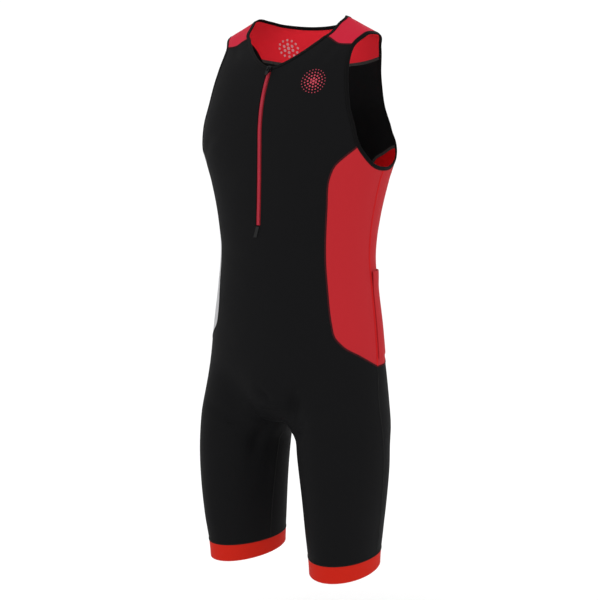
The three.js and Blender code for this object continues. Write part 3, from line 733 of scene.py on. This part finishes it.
front_top = np.concatenate([front_centre[:1], neck_front[1:]])
front_bottom = np.column_stack([np.linspace(-1, 0, 33), band_top(np.linspace(-1, 0, 33))])
front_nets = [
    (side, between(front_centre, front_side(side), front_top, front_bottom, 44)) for side in (1, -1)
]
front_panel = cloth("front_panel_cloth", front_nets,
                    [black_knit, black_reverse], "black_knit", CLOTH)
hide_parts("front_panel")

# ---- yoke ----
# One piece over both shoulders and the top of the back, in coral-red knit, with its
# reverse a purer red that is also made much brighter than the face as painted light,
# standing in for light inside the suit. It is flatlocked to the front and back panels.
coral_knit = knit("coral_red_warp_knit", "#bb2036", "#971628", sheen=0.0, gloss=0.06)
# Painted light: the reverse is a brighter copy of the coral knit, lit up to stand in for light inside the
# suit.
coral_reverse_painted_light = knit("coral_red_warp_knit_reverse", "#fb2c3a", "#dc1c28", sheen=0.0, gloss=0.06)
over_neck = np.concatenate([neck_top, neck_back[1:]])
over_shoulder = np.concatenate([arm_top[::-1], arm_shoulder[::-1][1:], yoke_back_seam[1:]])
yoke_net = between(over_neck, over_shoulder, yoke_front_seam, None, 24)
yoke = cloth("yoke_cloth", [(1, yoke_net), (-1, yoke_net)], [coral_knit, coral_reverse_painted_light],
             "coral_knit", CLOTH)
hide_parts("yoke")

# ---- back panel ----
# The back of body and legs in one piece of the black knit, under the yoke.
back_centre = line_down(1, YOKE_BACK, levels(YOKE_BACK, -222, 8), levels(-222, -530, 10),
                        levels(-530, FORK + SEAT_ARC, 4), arc_levels(8),
                        levels(FORK, band_top(1), 8))
back_outer = np.concatenate([arm_back[::-1], side_back_seam[1:], outseam])
back_bottom = np.column_stack([np.linspace(1, 0, 33), band_top(np.linspace(1, 0, 33))])
back_net = between(back_centre, back_outer, yoke_back_seam[::-1], back_bottom, 44)
back_panel = cloth("back_panel_cloth", [(1, back_net), (-1, back_net)],
                   [black_knit, black_reverse], "black_knit", CLOTH)
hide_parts("back_panel")

# ---- side panels ----
# Between armhole and hip on each side, two pieces that meet in the side seam: red on
# the wearer's left, light grey on the right.
red_knit = knit("red_warp_knit", "#ae242a", "#8a171d", sheen=0.0, gloss=0.06)
# Painted light: the red reverse is much brighter than the face, lit up to stand in for light inside the
# suit.
red_reverse_painted_light = knit("red_warp_knit_reverse", "#ee0c14", "#c8080c", sheen=0.0, gloss=0.04)
grey_knit = knit("grey_warp_knit", "#a9a9ab", "#87878a", sheen=0.1, gloss=0.22)
grey_reverse = knit("grey_warp_knit_reverse", "#8c8c8e", "#6f6f72", sheen=0.02, gloss=0.1)
SIDE_LOOKS = ((1, "left", (red_knit, red_reverse_painted_light), "red_knit"),
              (-1, "right", (grey_knit, grey_reverse), "grey_knit"))
side_back_net = between(side_seam, side_back_seam, arm_under_back, None, 20)
for side, word, looks, slot in SIDE_LOOKS:
    side_front_net = between(side_seam, side_front_seam[side], arm_under_front[::-1], None, 20)
    for part, net in (("front", side_front_net), ("back", side_back_net)):
        panel = cloth(f"side_{part}_{word}_cloth", [(side, net)], looks, slot, CLOTH)
        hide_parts(f"side_{part}_{word}")

# ---- rear pockets ----
# A flat patch on each side back panel, which on the suit is hemmed at its mouth and sewn
# down on its other edges; neither hem nor stitches are drawn. The mouth stands a little open.
POCKET_MOUTH = -425.0
POCKET_LIFT = 1.5
POCKET_GAPE = 2.2
deep = side_back_seam[(side_back_seam[:, 1] < POCKET_MOUTH) & (side_back_seam[:, 0] > 0.3)]
pocket_outer = seam([(0.44, POCKET_MOUTH), *deep[::FINE]], 6 * FINE)
pocket_outer = np.column_stack([pocket_outer[:, 0] - 0.035,
                                np.maximum(pocket_outer[:, 1], SIDE_TIP[1] + 22)])
pocket_inner = line_down(0.02, np.linspace(POCKET_MOUTH, SIDE_TIP[1] + 12, 6 * FINE + 1))
pocket_net = between(pocket_inner, pocket_outer, None, None, 20)


def pocket_stand(z):
    """How far the pocket stands off the form: POCKET_LIFT where it is sewn down, and
    POCKET_GAPE more at the mouth, falling smoothly over 32 mm."""
    return POCKET_LIFT + POCKET_GAPE * (1 - smooth(0, 1, (POCKET_MOUTH - z) / 32))


for side, word, looks, slot in SIDE_LOOKS:
    pocket = cloth(f"pocket_{word}_cloth", [(side, pocket_net)], looks, slot, 1.0, pocket_stand)
    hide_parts(f"pocket_{word}")

# ---- leg bands ----
# A band of dense orange-red elastic knit, 23.5 to 30.5 mm tall, closes each leg. The seam
# over it is lower in front than behind.
band_knit = knit("orange_red_elastic_knit", "#ba2013", "#96150c", sheen=0.0, gloss=0.06,
                 wale=1.6, course=1.1)
band_reverse = knit("orange_red_elastic_knit_reverse", "#b01820", "#8a1016", sheen=0.02, gloss=0.15)
BAND_TALL = 27.0
BAND_FLARE = 3.5
ring = np.linspace(-1, 1, 97)
band_net = np.stack([
    np.column_stack([ring, band_top(ring) - share * (BAND_TALL - BAND_FLARE * np.sin(ring * math.pi))])
    for share in bunched(14)
])
for side, word in ((1, "left"), (-1, "right")):
    band = cloth(f"leg_band_{word}_elastic", [(side, band_net)], [band_knit, band_reverse],
                 "orange_red_band", 1.4)
    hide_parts(f"leg_band_{word}")

# ---- bindings ----
# Black elastic tape, folded in half over the raw edge of the neck and of each armhole
# and stitched through; the front neck ends stop at the zip.
BINDING_PROUD = 0.6
TAPE_THICK = 0.5


def strip_points(edge_places, cloth_places, side):
    """Edge line, cloth line and normals of a bound edge, in millimetres."""
    edge, inner = form(side, *edge_places.T), form(side, *cloth_places.T)
    off = unit(outward(side, *edge_places.T) + outward(side, *cloth_places.T))
    return edge, inner, off


def folded(edge, inner, off, wall):
    """Net of a tape folded over an edge: outer leg, half turn and inner leg, as a profile
    in the plane of the cloth's normal; returns points and the tape's own outward normals."""
    width = np.linalg.norm(inner - edge, axis=1)[:, None]
    into = unit(inner - edge)
    radius = (wall + 2 * BINDING_PROUD) / 2
    leg = np.linspace(1, 0, 7)
    turn = np.radians(np.linspace(90, 270, 11))[1:-1]
    reach = np.concatenate([leg, np.zeros(len(turn)), leg[::-1]])
    out = np.concatenate([np.zeros(7), np.cos(turn), np.zeros(7)])
    rise = np.concatenate([np.ones(7), np.sin(turn), -np.ones(7)])
    middle = edge + into * radius - off * wall / 2
    span = (width - radius)[:, None] * reach[None, :, None]
    points = middle[:, None] + into[:, None] * span
    points = points + into[:, None] * (out * radius)[None, :, None]
    points = points + off[:, None] * (rise * radius)[None, :, None]
    normals = unit(into[:, None] * out[None, :, None] + off[:, None] * rise[None, :, None])
    return points, normals


def elastic_tape():
    """Folded elastic tape: fine ribs along its length, dull black, with a painted highlight
    that makes the colour a little lighter on top of each rib. Ribs are drawn at 0.9 mm so
    that they show."""
    material, tree = finish_named("black_ribbed_elastic")
    at = add(tree, "ShaderNodeSeparateXYZ", {
        "Vector": add(tree, "ShaderNodeUVMap", uv_map="cloth").outputs["UV"],
    })
    turn = add(tree, "ShaderNodeMath", {0: at.outputs["X"], 1: math.pi / (0.9 * MM)}, operation="MULTIPLY")
    wave = add(tree, "ShaderNodeMath", {0: turn.outputs[0]}, operation="SINE")
    rib = add(tree, "ShaderNodeMath", {0: wave.outputs[0]}, operation="ABSOLUTE")
    # Painted highlight on the top of each rib, and painted shade darker between the ribs.
    tint = two_tone(tree, rib.outputs[0], "#040404", "#0c0c0d")
    relief = add(tree, "ShaderNodeBump", {"Height": rib.outputs[0], "Distance": 0.0002, "Strength": 0.6})
    return coated(material, tree, {
        "Base Color": tint.outputs["Color"],
        "Roughness": 0.62,
        "Specular IOR Level": 0.05,
        "Normal": relief.outputs["Normal"],
    })


tape_finish = elastic_tape()


def bind(name, edge, inner, off, closed, node, flat):
    """The folded tape along one edge, as a shell with its ribs along its length."""
    points, normals = folded(edge, inner, off, CLOTH)
    if closed:
        points = np.concatenate([points, points[:1]])
        normals = np.concatenate([normals, normals[:1]])
    rows, columns = points.shape[:2]
    uv = laid_flat(points)
    made, facets, finish, source = shell(
        points.reshape(-1, 3), normals.reshape(-1, 3), triangles_of(rows, columns, 0), TAPE_THICK)
    tape = piece(name, made, facets, [tape_finish, tape_finish], "black_binding", finish, uv[source])
    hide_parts(node)


def edge_places(edge, low, high, count):
    """Places along a bound edge, and along the inner border of its binding."""
    at = np.linspace(low, high, count + 1)
    return follow(edge, at), tucked(edge, at, BINDING)


neck_edge, neck_inner = edge_places(NECK_EDGE, 0, NECK_STOPS["back"], 150)
for line in (neck_edge, neck_inner):
    line[0, 0] = angle_at(slit, line[0, 1])
left = strip_points(neck_edge, neck_inner, 1)
right = strip_points(neck_edge, neck_inner, -1)
neck_strip = [np.concatenate([one, other[::-1][1:]]) for one, other in zip(left, right)]
bind("neck_binding_tape", *neck_strip, False, "neck_binding", (0.0141, 0.559))

arm_edge, arm_inner = edge_places(ARM_EDGE, 0, ARM_STOPS["end"], 220)
arm_strips = {}
for side, word in ((1, "left"), (-1, "right")):
    arm_strips[word] = [line[:-1] for line in strip_points(arm_edge, arm_inner, side)]
    bind(f"armhole_binding_{word}_tape", *arm_strips[word], True,
         f"armhole_binding_{word}", (0.0145, 0.571 if side > 0 else 0.578))

# ---- stitching ----
# Flatlock seams join the panels: a low band of covering thread outside, and a wider
# band of grey looper thread inside. Bound edges have one row of lockstitch on each face.


def tube(path, up, wide, tall, sides, closed=False):
    """Closed tube round a path: each ring is an ellipse of half width wide, across the
    path, and half height tall, along up."""
    run = np.gradient(path, axis=0)
    if closed:
        run = np.roll(path, -1, axis=0) - np.roll(path, 1, axis=0)
    across = unit(np.cross(up, run))
    turn = np.arange(sides) * 2 * math.pi / sides
    ring = (across[:, None] * (np.cos(turn) * wide)[None, :, None]
            + up[:, None] * (np.sin(turn) * tall)[None, :, None])
    points = path[:, None] + ring
    rows = len(path)
    k = np.arange(rows * sides).reshape(rows, sides)
    k = np.column_stack([k, k[:, 0]])
    if closed:
        k = np.vstack([k, k[:1]])
    a, b, c, d = k[:-1, :-1], k[:-1, 1:], k[1:, 1:], k[1:, :-1]
    facets = np.concatenate([np.stack([a, c, b], -1), np.stack([a, d, c], -1)]).reshape(-1, 3)
    if not closed:
        fan = np.arange(1, sides - 1)
        first = np.column_stack([np.zeros_like(fan), fan, fan + 1])
        last = np.column_stack([np.zeros_like(fan), fan + 1, fan]) + (rows - 1) * sides
        facets = np.concatenate([facets, first, last])
    return points.reshape(-1, 3), facets


def join(parts):
    """One set of points and triangles from several."""
    starts = np.cumsum([0] + [len(points) for points, _ in parts[:-1]])
    return (np.concatenate([points for points, _ in parts]),
            np.concatenate([facets + start for (_, facets), start in zip(parts, starts)]))


def stepped(side, places, step):
    """Places at equal real steps along a line of places on the form."""
    points = form(side, *places.T)
    at = distance_along(points, 0)
    stops = np.linspace(0, at[-1], max(2, round(at[-1] / step)) + 1)
    return np.column_stack([np.interp(stops, at, places[:, k]) for k in (0, 1)])


def flatlock(side, places, wide, pitch, face):
    """A flatlock band: a low crowned ribbon of thread with a zigzag thread over it, whose
    sideways place is a triangle wave of the length. Face 1 is outside, -1 inside."""
    fine = stepped(side, places, pitch / 4)
    base, off = form(side, *fine.T), outward(side, *fine.T)
    if face < 0:
        base = base - off * CLOTH
    up = off * face
    across = unit(np.cross(off, np.gradient(base, axis=0)))
    wave = np.abs((np.arange(len(fine)) / 2) % 2 - 1) * 2 - 1
    ribbon = tube(base[::2] + up[::2] * 0.16, up[::2], wide / 2, 0.16, 8)
    thread = tube(base + across * (wave * wide * 0.44)[:, None] + up * 0.36, up, 0.22, 0.18, 4)
    return join([ribbon, thread])


def thread_finish(name, colour, shade):
    """Textured polyester thread: matt, twisted, with painted shade that darkens the gaps
    between the loops. The twist is a fine slanting wave, drawn at 0.8 mm."""
    material, tree = finish_named(name)
    place = add(tree, "ShaderNodeTexCoord").outputs["Object"]
    twist = add(tree, "ShaderNodeTexWave", {
        "Vector": place, "Scale": 0.3 / (0.8 * MM), "Distortion": 2.0, "Detail": 2.0,
    }, bands_direction="DIAGONAL")
    # Painted shade: the colour follows the twist, darker in the gaps between the loops.
    tint = two_tone(tree, twist.outputs["Fac"], shade, colour)
    relief = add(tree, "ShaderNodeBump", {
        "Height": twist.outputs["Fac"], "Distance": 0.0001, "Strength": 0.5,
    })
    return coated(material, tree, {
        "Base Color": tint.outputs["Color"],
        "Roughness": 0.7,
        "Specular IOR Level": 0.15,
        "Normal": relief.outputs["Normal"],
    })


black_thread = thread_finish("black_polyester_thread", "#131313", "#060606")
dark_red_thread = thread_finish("dark_red_polyester_thread", "#4a0d14", "#26060a")
red_thread = thread_finish("bright_red_polyester_thread", "#cc0e12", "#b0080c")
grey_thread = thread_finish("grey_looper_thread", "#55514f", "#34302f")
pale_thread = thread_finish("pale_grey_polyester_thread", "#bdbdbf", "#8f8f92")

inseam = line_down(1, np.linspace(FORK, band_top(1), 60))
leg_outseam = np.concatenate([[SIDE_TIP], outseam])
band_seam = np.column_stack([ring, band_top(ring)])
INNER_BAND = 5.0
for side, word, _, slot in SIDE_LOOKS:
    panel_thread = dark_red_thread if side > 0 else black_thread
    side_thread = red_thread if side > 0 else pale_thread
    for line_name, line, thread, thread_slot, outer_band in (
        ("yoke_front", yoke_front_seam, dark_red_thread, "black_knit", 2.8),
        ("yoke_back", yoke_back_seam, dark_red_thread, "black_knit", 2.8),
        ("side_front", side_front_seam[side], panel_thread, "black_knit", 2.8),
        ("side_back", side_back_seam, panel_thread, "black_knit", 2.8),
        ("side", side_seam, side_thread, slot, 3.6),
        ("outseam", leg_outseam, black_thread, "black_knit", 2.4),
        ("inseam", inseam, black_thread, "black_knit", 2.4),
        ("leg_band", band_seam, black_thread, "black_knit", 2.4),
    ):
        outer = flatlock(side, line, outer_band, 2.2, 1)
        inner = flatlock(side, line, INNER_BAND, 2.8, -1)
        piece(f"seam_{line_name}_{word}_outside", *outer, [thread], thread_slot, flat=80)
        piece(f"seam_{line_name}_{word}_inside", *inner, [grey_thread], "grey_knit", flat=80)


def lockstitch(line, off, closed=False, stitch=2.6):
    """A row of lockstitch: a thread that dips into the cloth at the end of each stitch, so
    its height follows |sin| of the length over a stitch."""
    at = distance_along(np.concatenate([line, line[:1]]) if closed else line, 0)
    count = max(1, round(at[-1] / stitch)) * 4
    stops = np.linspace(0, at[-1], count + 1)
    source = np.concatenate([line, line[:1]]) if closed else line
    facing = np.concatenate([off, off[:1]]) if closed else off
    path = np.column_stack([np.interp(stops, at, source[:, k]) for k in range(3)])
    up = unit(np.column_stack([np.interp(stops, at, facing[:, k]) for k in range(3)]))
    rise = np.abs(np.sin(np.arange(count + 1) * math.pi / 4)) * 0.22
    path = path + up * rise[:, None]
    if closed:
        path, up = path[:-1], up[:-1]
    return tube(path, up, 0.2, 0.16, 4, closed)


STITCH_ROW = 0.76


def binding_rows(edge, inner, off, closed):
    """Lockstitch a quarter of the way in from the binding's inner border, on both faces."""
    line = edge + (inner - edge) * STITCH_ROW
    outside = lockstitch(line + off * BINDING_PROUD, off, closed)
    inside = lockstitch(line - off * (CLOTH + BINDING_PROUD), -off, closed)
    return join([outside, inside])


piece("neck_binding_stitches", *binding_rows(*neck_strip, False), [black_thread], "black_binding")
for word, strip in arm_strips.items():
    piece(f"armhole_binding_{word}_stitches", *binding_rows(*strip, True), [black_thread],
          "black_binding")

# ---- zip ----
# A closed coil zip in red: two nylon coils that hook into each other, sewn to a woven
# tape behind the slit, with a painted slider at the top and a woven stay at the foot.
TAPE_HALF = 12.0
TAPE_TOP = -99.0
tape_z = np.linspace(TAPE_TOP, ZIP_END - 8, 90)
tape_across = np.linspace(-1, 1, 13) * TAPE_HALF


def front_place(x, z):
    """Side and angle of a place that is x to the wearer's left of the front centre."""
    return np.where(x < 0, -1, 1), angle_at(np.abs(x), z)


def on_front(x, z, lift):
    """Points and normals on the front of the body, x from its centre line, lifted off it."""
    x, z = np.broadcast_arrays(x, z)
    side, s = front_place(x, z)
    point, off = form(1, s, z), outward(1, s, z)
    mirror_point, mirror_off = form(-1, s, z), outward(-1, s, z)
    left_side = (side > 0)[..., None]
    point, off = np.where(left_side, point, mirror_point), np.where(left_side, off, mirror_off)
    return point + off * lift, off


def woven_tape(name, colour, shade):
    """Plain-woven polyester tape: threads over and under each other, as the product of a
    sine along and a sine across, with painted shade darkening the colour where a thread
    dips under. Threads are drawn at 0.7 mm."""
    material, tree = finish_named(name)
    at = add(tree, "ShaderNodeSeparateXYZ", {
        "Vector": add(tree, "ShaderNodeUVMap", uv_map="cloth").outputs["UV"],
    })
    waves = []
    for axis in ("X", "Y"):
        turn = add(tree, "ShaderNodeMath", {0: at.outputs[axis], 1: math.pi / (0.7 * MM)},
                   operation="MULTIPLY")
        waves.append(add(tree, "ShaderNodeMath", {0: turn.outputs[0]}, operation="SINE").outputs[0])
    over = add(tree, "ShaderNodeMath", {0: waves[0], 1: waves[1]}, operation="MULTIPLY")
    height = add(tree, "ShaderNodeMath", {0: over.outputs[0], 1: 0.5, 2: 0.5}, operation="MULTIPLY_ADD")
    # Painted shade: the colour is darker where the weave is low.
    tint = two_tone(tree, height.outputs[0], shade, colour)
    relief = add(tree, "ShaderNodeBump", {"Height": height.outputs[0], "Distance": 0.0002, "Strength": 0.6})
    return coated(material, tree, {
        "Base Color": tint.outputs["Color"],
        "Roughness": 0.7,
        "Specular IOR Level": 0.2,
        "Normal": relief.outputs["Normal"],
    })


def strip_on_front(name, x, z, lift, thick, finish, slot, node):
    """A flat strip on the front centre line, from arrays of x and z over a net."""
    points, normals = on_front(x, z, lift)
    uv = laid_flat(points)
    rows, columns = points.shape[:2]
    made, facets, faces, source = shell(
        points.reshape(-1, 3), normals.reshape(-1, 3), triangles_of(rows, columns, 0), thick)
    strip = piece(name, made, facets, [finish, finish], slot, faces, uv[source])
    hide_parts(node)
    return strip


red_tape = woven_tape("red_woven_zip_tape", "#b3202c", "#7d121c")
zip_tape = strip_on_front("zip_tape_woven", tape_across[None, :], tape_z[:, None], -(CLOTH + 0.5), 0.6,
                          red_tape, "red_zip", "zip_tape")


def coil(hand):
    """One nylon coil: an oval helix down the centre line, reaching across the middle to
    hook into the other; x and lift follow the cosine and sine of the turn."""
    turns = (ZIP_TOP - ZIP_END) / 1.5
    turn = np.arange(0, turns * 12) * 2 * math.pi / 12
    z = ZIP_TOP - 1.2 - turn / (2 * math.pi) * 1.5 - (0.75 if hand > 0 else 0)
    keep = z > ZIP_END + 0.5
    turn, z = turn[keep], z[keep]
    x = hand * (1.05 + 1.75 * np.cos(turn))
    point, off = on_front(x, z, 0.0)
    path = point + off * (-0.1 + 0.62 * np.sin(turn * hand))[:, None]
    return tube(path, off, 0.34, 0.34, 5)


def nylon(name, colour):
    """Dyed nylon monofilament: smooth and slightly shiny, with a faint haze along it."""
    material, tree = finish_named(name)
    place = add(tree, "ShaderNodeTexCoord").outputs["Object"]
    haze = add(tree, "ShaderNodeTexNoise", {"Vector": place, "Scale": 400.0})
    rough = add(tree, "ShaderNodeMapRange", {"Value": haze.outputs["Fac"], "To Min": 0.35, "To Max": 0.5})
    return coated(material, tree, {
        "Base Color": linear(colour),
        "Roughness": rough.outputs["Result"],
        "IOR": 1.53,
        "Specular IOR Level": 0.35,
    })


coils = piece("zip_coils", *join([coil(1), coil(-1)]), [nylon("red_nylon_coil", "#bf2a40")], "red_zip",
              flat=80)
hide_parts("zip_chain")

STAY = {"top": -351.0, "tall": 18.0, "half": 3.4, "lean": -5.0}
down = np.linspace(0, 1, 19)[:, None]
stay_x = STAY["lean"] * down + np.linspace(-1, 1, 9)[None, :] * STAY["half"]
stay_z = STAY["top"] - STAY["tall"] * down + np.zeros((1, 9))
zip_stay = strip_on_front("zip_stay_woven", stay_x, stay_z, 1.3, 0.8,
                          woven_tape("black_woven_stay", "#1c1c1d", "#0b0b0b"), "black_binding",
                          "zip_stay")

topstitch_z = np.linspace(-100, ZIP_END - 2, 120)
for side, word in ((1, "left"), (-1, "right")):
    line, off = on_front(side * np.full_like(topstitch_z, 6.6), topstitch_z, 0.0)
    piece(f"zip_topstitch_{word}", *lockstitch(line, off), [black_thread], "black_knit")


def painted_metal(name):
    """Die-cast zinc with black stoving paint: low gloss, worn a little lighter where the
    paint is thin, as noise."""
    material, tree = finish_named(name)
    place = add(tree, "ShaderNodeTexCoord").outputs["Object"]
    wear = add(tree, "ShaderNodeTexNoise", {"Vector": place, "Scale": 900.0, "Detail": 3.0})
    tint = two_tone(tree, wear.outputs["Fac"], "#050506", "#121214")
    relief = add(tree, "ShaderNodeBump", {
        "Height": wear.outputs["Fac"], "Distance": 0.00005, "Strength": 0.3,
    })
    return coated(material, tree, {
        "Base Color": tint.outputs["Color"],
        "Roughness": 0.45,
        "Specular IOR Level": 0.15,
        "Normal": relief.outputs["Normal"],
    })


slider_paint = painted_metal("black_painted_zinc")
for node in ("zip_slider", "zip_pull"):
    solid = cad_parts[node]
    solid.data.materials.clear()
    solid.data.materials.append(slider_paint)

# ---- printed dots ----
# A plain rosette of printed dots on the left chest and a paler one inside the neck:
# a thin film of ink that lies on the cloth.


def rosette(side, s, z, radius, squash, lift, face, rings, share):
    """Dots in rings of 6, 12, 18 ... round a middle dot, smaller outwards. share is a dot's
    radius over the rings' spacing. Each dot is a low disc, twelve corners and a raised
    middle, laid on the form through its own slopes."""
    centre = [(0.0, 0.0, 1.0)]
    for k in range(1, rings + 1):
        turn = (np.arange(6 * k) + 0.5 * (k % 2)) * 2 * math.pi / (6 * k)
        centre += [(math.cos(t) * k / rings, math.sin(t) * k / rings, 1 - 0.15 * k) for t in turn]
    centre = np.array(centre)
    turn = np.arange(12) * 2 * math.pi / 12
    dot = radius / rings * share
    across = centre[:, 0, None] * radius + np.cos(turn) * dot * centre[:, 2, None]
    rise = centre[:, 1, None] * radius * squash + np.sin(turn) * dot * centre[:, 2, None]
    across = np.column_stack([centre[:, 0] * radius, across])
    rise = np.column_stack([centre[:, 1] * radius * squash, rise])
    along_s = np.linalg.norm(skin(s + 0.01, z) - skin(s - 0.01, z)) / 0.02
    along_z = np.linalg.norm(skin(s, z + 1) - skin(s, z - 1)) / 2
    places = s + across / along_s, z + rise / along_z
    off = outward(side, *places) * face
    base = form(side, *places) + (off * CLOTH if face < 0 else 0)
    top, under = base + off * lift, base + off * 0.02
    top[:, 0] += off[:, 0] * 0.03
    points = np.concatenate([top, under], axis=1)
    k = np.arange(1, 13)
    following = np.roll(k, -1)
    fan = np.column_stack([np.zeros(12, int), k, following])
    low = np.column_stack([np.full(12, 13), following + 13, k + 13])
    wall = np.concatenate([np.column_stack([k, k + 13, following + 13]),
                           np.column_stack([k, following + 13, following])])
    facets = np.concatenate([fan, low, wall])
    if face * side < 0:
        facets = facets[:, ::-1]
    facets = (facets[None] + np.arange(len(centre))[:, None, None] * 26).reshape(-1, 3)
    return points.reshape(-1, 3), facets


def ink(name, colour, shade):
    """Screen-printed ink, half matt, with the knit's grain showing through as fine noise."""
    material, tree = finish_named(name)
    place = add(tree, "ShaderNodeTexCoord").outputs["Object"]
    grain = add(tree, "ShaderNodeTexNoise", {"Vector": place, "Scale": 700.0, "Detail": 2.0})
    tint = two_tone(tree, grain.outputs["Fac"], shade, colour)
    return coated(material, tree, {
        "Base Color": tint.outputs["Color"], "Roughness": 0.5, "Specular IOR Level": 0.2,
    })


piece("chest_print", *rosette(1, -0.673, -115.8, 20.0, 1.0, 0.16, 1, 4, 0.42),
      [ink("red_screen_print", "#c8475a", "#a8303f")], "red_knit")
piece("neck_print", *rosette(-1, 0.722, -55.5, 18.0, 0.8, 0.16, -1, 2, 0.34),
      [ink("pale_pink_screen_print", "#f3aab0", "#e08c92")], "coral_knit")
